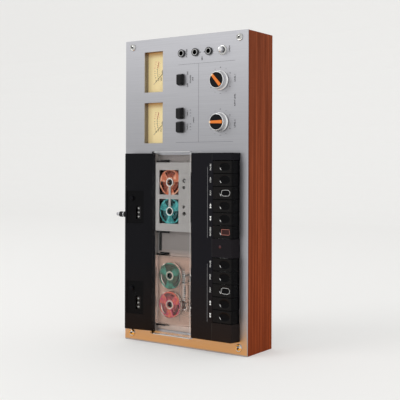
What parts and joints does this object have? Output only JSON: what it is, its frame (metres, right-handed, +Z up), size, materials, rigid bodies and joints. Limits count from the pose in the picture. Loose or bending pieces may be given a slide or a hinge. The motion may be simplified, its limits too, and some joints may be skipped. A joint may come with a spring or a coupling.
{
  "type": "double cassette deck",
  "caption": "Slim wooden-cased double cassette deck: two wells under one clear lid, piano keys, level meters, knobs, switches and jack sockets on a metal faceplate.",
  "frame": {"origin": "middle of the wooden case's lower end, on the face that the standing deck rests on", "axes": "+Z up along the deck's long side, -Y out of the faceplate, +X towards the piano keys, which face the user when the deck lies on its feet"},
  "size_m": [0.2465, 0.0921, 0.454],
  "materials": {
    "wood": "satin, reddish brown, vertical grain",
    "brushed_aluminium": "fine brushed",
    "steel_sheet": "grey enamel",
    "deck_silver": "satin grey-brown",
    "black_plastic": "fine moulded grain",
    "clear_acrylic": "clear, polished",
    "cassette_silver": "silver moulded",
    "cassette_clear": "clear moulded, slightly warm",
    "reel_orange": "orange metallic",
    "reel_teal": "teal metallic",
    "reel_green": "green metallic",
    "reel_pink": "pink-red metallic",
    "dial_cream": "printed cream card in an olive-brown box",
    "needle_black": "black",
    "chrome": "polished",
    "steel": "turned",
    "satin_silver": "satin turned, black face",
    "lamp_red": "translucent red",
    "board_brown": "phenolic board",
    "rubber": "matt black"
  },
  "bodies": {
    "deck": {"wooden_case": "wood", "faceplate": "brushed_aluminium", "base_cover": "steel_sheet", "rear_panel": "steel_sheet", "transformer": "steel_sheet", "deck_plate": "deck_silver", "front_housing": "black_plastic", "rear_housing": "black_plastic", "cassette_upper": "cassette_silver", "cassette_lower": "cassette_clear", "meter_1_case": "dial_cream", "meter_2_case": "dial_cream", "cassette_clip_upper_high": "needle_black", "cassette_clip_upper_low": "needle_black", "cassette_clip_lower_high": "needle_black", "cassette_clip_lower_low": "needle_black", "jack_1": "steel", "jack_2": "steel", "jack_3": "steel", "key_shaft": "steel", "motor": "steel", "pilot_lamp": "lamp_red", "circuit_board": "board_brown", "drive_belt": "rubber"},
    "lid": {"lid": "clear_acrylic"},
    "key_upper_pause": {"key_upper_pause": "black_plastic"},
    "key_upper_stop": {"key_upper_stop": "black_plastic"},
    "key_upper_play": {"key_upper_play": "black_plastic"},
    "key_upper_forward": {"key_upper_forward": "black_plastic"},
    "key_upper_rewind": {"key_upper_rewind": "black_plastic"},
    "key_upper_record": {"key_upper_record": "black_plastic"},
    "key_lower_pause": {"key_lower_pause": "black_plastic"},
    "key_lower_stop": {"key_lower_stop": "black_plastic"},
    "key_lower_play": {"key_lower_play": "black_plastic"},
    "key_lower_forward": {"key_lower_forward": "black_plastic"},
    "key_lower_rewind": {"key_lower_rewind": "black_plastic"},
    "head_carriage_upper": {"head_carriage_upper": "steel"},
    "head_carriage_lower": {"head_carriage_lower": "steel"},
    "knob_1": {"knob_1": "satin_silver"},
    "knob_2": {"knob_2": "satin_silver"},
    "push_button": {"push_button": "chrome"},
    "switch_1": {"switch_1": "black_plastic"},
    "switch_2": {"switch_2": "black_plastic"},
    "switch_3": {"switch_3": "black_plastic"},
    "meter_1_needle": {"meter_1_needle": "needle_black"},
    "meter_2_needle": {"meter_2_needle": "needle_black"},
    "takeup_upper": {"spindle_upper_takeup": "needle_black", "reel_upper_takeup": "reel_orange"},
    "supply_upper": {"spindle_upper_supply": "needle_black", "reel_upper_supply": "reel_teal"},
    "counter_upper_wheels": {"counter_upper_wheels": "needle_black"},
    "counter_upper_reset": {"counter_upper_reset": "black_plastic"},
    "capstan_upper": {"capstan_upper": "steel"},
    "takeup_lower": {"spindle_lower_takeup": "needle_black", "reel_lower_takeup": "reel_green"},
    "supply_lower": {"spindle_lower_supply": "needle_black", "reel_lower_supply": "reel_pink"},
    "counter_lower_wheels": {"counter_lower_wheels": "needle_black"},
    "counter_lower_reset": {"counter_lower_reset": "black_plastic"},
    "capstan_lower": {"capstan_lower": "steel"}
  },
  "joints": [
    {"name": "lid_hinge", "type": "hinge", "parent": "deck", "child": "lid", "pos_m": [-0.0495, -0.0424, 0.1512], "axis": [0, 0, -1], "range_deg": [0, 95]},
    {"name": "key_upper_pause_press", "type": "hinge", "parent": "deck", "child": "key_upper_pause", "pos_m": [0.05, -0.0414, 0.26305], "axis": [0, 0, 1], "range_deg": [0, 7], "stiffness_Nm_per_rad": 0.2},
    {"name": "key_upper_stop_press", "type": "hinge", "parent": "deck", "child": "key_upper_stop", "pos_m": [0.05, -0.0414, 0.24495], "axis": [0, 0, 1], "range_deg": [0, 7], "stiffness_Nm_per_rad": 0.2},
    {"name": "key_upper_play_press", "type": "hinge", "parent": "deck", "child": "key_upper_play", "pos_m": [0.05, -0.0414, 0.22685], "axis": [0, 0, 1], "range_deg": [0, 7], "stiffness_Nm_per_rad": 0.2},
    {"name": "key_upper_forward_press", "type": "hinge", "parent": "deck", "child": "key_upper_forward", "pos_m": [0.05, -0.0414, 0.20875], "axis": [0, 0, 1], "range_deg": [0, 7], "stiffness_Nm_per_rad": 0.2},
    {"name": "key_upper_rewind_press", "type": "hinge", "parent": "deck", "child": "key_upper_rewind", "pos_m": [0.05, -0.0414, 0.19065], "axis": [0, 0, 1], "range_deg": [0, 7], "stiffness_Nm_per_rad": 0.2},
    {"name": "key_upper_record_press", "type": "hinge", "parent": "deck", "child": "key_upper_record", "pos_m": [0.05, -0.0414, 0.17255], "axis": [0, 0, 1], "range_deg": [0, 7], "stiffness_Nm_per_rad": 0.2},
    {"name": "key_lower_pause_press", "type": "hinge", "parent": "deck", "child": "key_lower_pause", "pos_m": [0.05, -0.0414, 0.12705], "axis": [0, 0, 1], "range_deg": [0, 7], "stiffness_Nm_per_rad": 0.2},
    {"name": "key_lower_stop_press", "type": "hinge", "parent": "deck", "child": "key_lower_stop", "pos_m": [0.05, -0.0414, 0.10895], "axis": [0, 0, 1], "range_deg": [0, 7], "stiffness_Nm_per_rad": 0.2},
    {"name": "key_lower_play_press", "type": "hinge", "parent": "deck", "child": "key_lower_play", "pos_m": [0.05, -0.0414, 0.09085], "axis": [0, 0, 1], "range_deg": [0, 7], "stiffness_Nm_per_rad": 0.2},
    {"name": "key_lower_forward_press", "type": "hinge", "parent": "deck", "child": "key_lower_forward", "pos_m": [0.05, -0.0414, 0.07275], "axis": [0, 0, 1], "range_deg": [0, 7], "stiffness_Nm_per_rad": 0.2},
    {"name": "key_lower_rewind_press", "type": "hinge", "parent": "deck", "child": "key_lower_rewind", "pos_m": [0.05, -0.0414, 0.05465], "axis": [0, 0, 1], "range_deg": [0, 7], "stiffness_Nm_per_rad": 0.2},
    {"name": "head_carriage_upper_slide", "type": "slide", "parent": "deck", "child": "head_carriage_upper", "axis": [-1, 0, 0], "range_m": [0, 0.008]},
    {"name": "head_carriage_lower_slide", "type": "slide", "parent": "deck", "child": "head_carriage_lower", "axis": [-1, 0, 0], "range_m": [0, 0.008]},
    {"name": "knob_1_turn", "type": "hinge", "parent": "deck", "child": "knob_1", "pos_m": [0.064, -0.035, 0.3855], "axis": [0, 1, 0], "range_deg": [-198, 102]},
    {"name": "knob_2_turn", "type": "hinge", "parent": "deck", "child": "knob_2", "pos_m": [0.064, -0.035, 0.3264], "axis": [0, 1, 0], "range_deg": [-150, 150]},
    {"name": "push_button_press", "type": "slide", "parent": "deck", "child": "push_button", "axis": [0, 1, 0], "range_m": [0, 0.003], "stiffness_N_per_m": 200},
    {"name": "switch_1_tilt", "type": "hinge", "parent": "deck", "child": "switch_1", "pos_m": [-0.0046, -0.034, 0.3903], "axis": [0, 0, 1], "range_deg": [-8, 8]},
    {"name": "switch_2_tilt", "type": "hinge", "parent": "deck", "child": "switch_2", "pos_m": [-0.0054, -0.034, 0.3412], "axis": [0, 0, 1], "range_deg": [-8, 8]},
    {"name": "switch_3_tilt", "type": "hinge", "parent": "deck", "child": "switch_3", "pos_m": [-0.0054, -0.034, 0.3211], "axis": [0, 0, 1], "range_deg": [-8, 8]},
    {"name": "meter_1_needle_swing", "type": "hinge", "parent": "deck", "child": "meter_1_needle", "pos_m": [-0.043, -0.0247, 0.40475], "axis": [0, 1, 0], "range_deg": [0, 84], "stiffness_Nm_per_rad": 0.001},
    {"name": "meter_2_needle_swing", "type": "hinge", "parent": "deck", "child": "meter_2_needle", "pos_m": [-0.043, -0.0247, 0.32855], "axis": [0, 1, 0], "range_deg": [0, 84], "stiffness_Nm_per_rad": 0.001},
    {"name": "takeup_upper_spin", "type": "hinge", "parent": "deck", "child": "takeup_upper", "pos_m": [-0.019, -0.035, 0.24035], "axis": [0, 1, 0], "continuous": true},
    {"name": "supply_upper_spin", "type": "hinge", "parent": "deck", "child": "supply_upper", "pos_m": [-0.019, -0.035, 0.19805], "axis": [0, 1, 0], "continuous": true},
    {"name": "counter_upper_wheels_spin", "type": "hinge", "parent": "deck", "child": "counter_upper_wheels", "pos_m": [-0.0756, -0.0392, 0.1946], "axis": [0, 0, 1], "continuous": true},
    {"name": "counter_upper_reset_press", "type": "slide", "parent": "deck", "child": "counter_upper_reset", "axis": [-0.1775, 0.9841, 0], "range_m": [0, 0.0018], "stiffness_N_per_m": 150},
    {"name": "capstan_upper_spin", "type": "hinge", "parent": "deck", "child": "capstan_upper", "pos_m": [0.0085, -0.035, 0.2429], "axis": [0, 1, 0], "continuous": true},
    {"name": "takeup_lower_spin", "type": "hinge", "parent": "deck", "child": "takeup_lower", "pos_m": [-0.019, -0.035, 0.10375], "axis": [0, 1, 0], "continuous": true},
    {"name": "supply_lower_spin", "type": "hinge", "parent": "deck", "child": "supply_lower", "pos_m": [-0.019, -0.035, 0.06145], "axis": [0, 1, 0], "continuous": true},
    {"name": "counter_lower_wheels_spin", "type": "hinge", "parent": "deck", "child": "counter_lower_wheels", "pos_m": [-0.0756, -0.0392, 0.0596], "axis": [0, 0, 1], "continuous": true},
    {"name": "counter_lower_reset_press", "type": "slide", "parent": "deck", "child": "counter_lower_reset", "axis": [-0.1775, 0.9841, 0], "range_m": [0, 0.0018], "stiffness_N_per_m": 150},
    {"name": "capstan_lower_spin", "type": "hinge", "parent": "deck", "child": "capstan_lower", "pos_m": [0.0085, -0.035, 0.1063], "axis": [0, 1, 0], "continuous": true}
  ],
  "couplings": [
    {"joint": "head_carriage_upper_slide", "follows": "key_upper_play_press", "m_per_rad": 0.065},
    {"joint": "head_carriage_lower_slide", "follows": "key_lower_play_press", "m_per_rad": 0.065},
    {"joint": "supply_upper_spin", "follows": "takeup_upper_spin", "ratio": 1},
    {"joint": "supply_lower_spin", "follows": "takeup_lower_spin", "ratio": 1},
    {"joint": "counter_upper_wheels_spin", "follows": "takeup_upper_spin", "ratio": 0.1},
    {"joint": "counter_lower_wheels_spin", "follows": "takeup_lower_spin", "ratio": 0.1},
    {"joint": "capstan_lower_spin", "follows": "capstan_upper_spin", "ratio": 1}
  ]
}
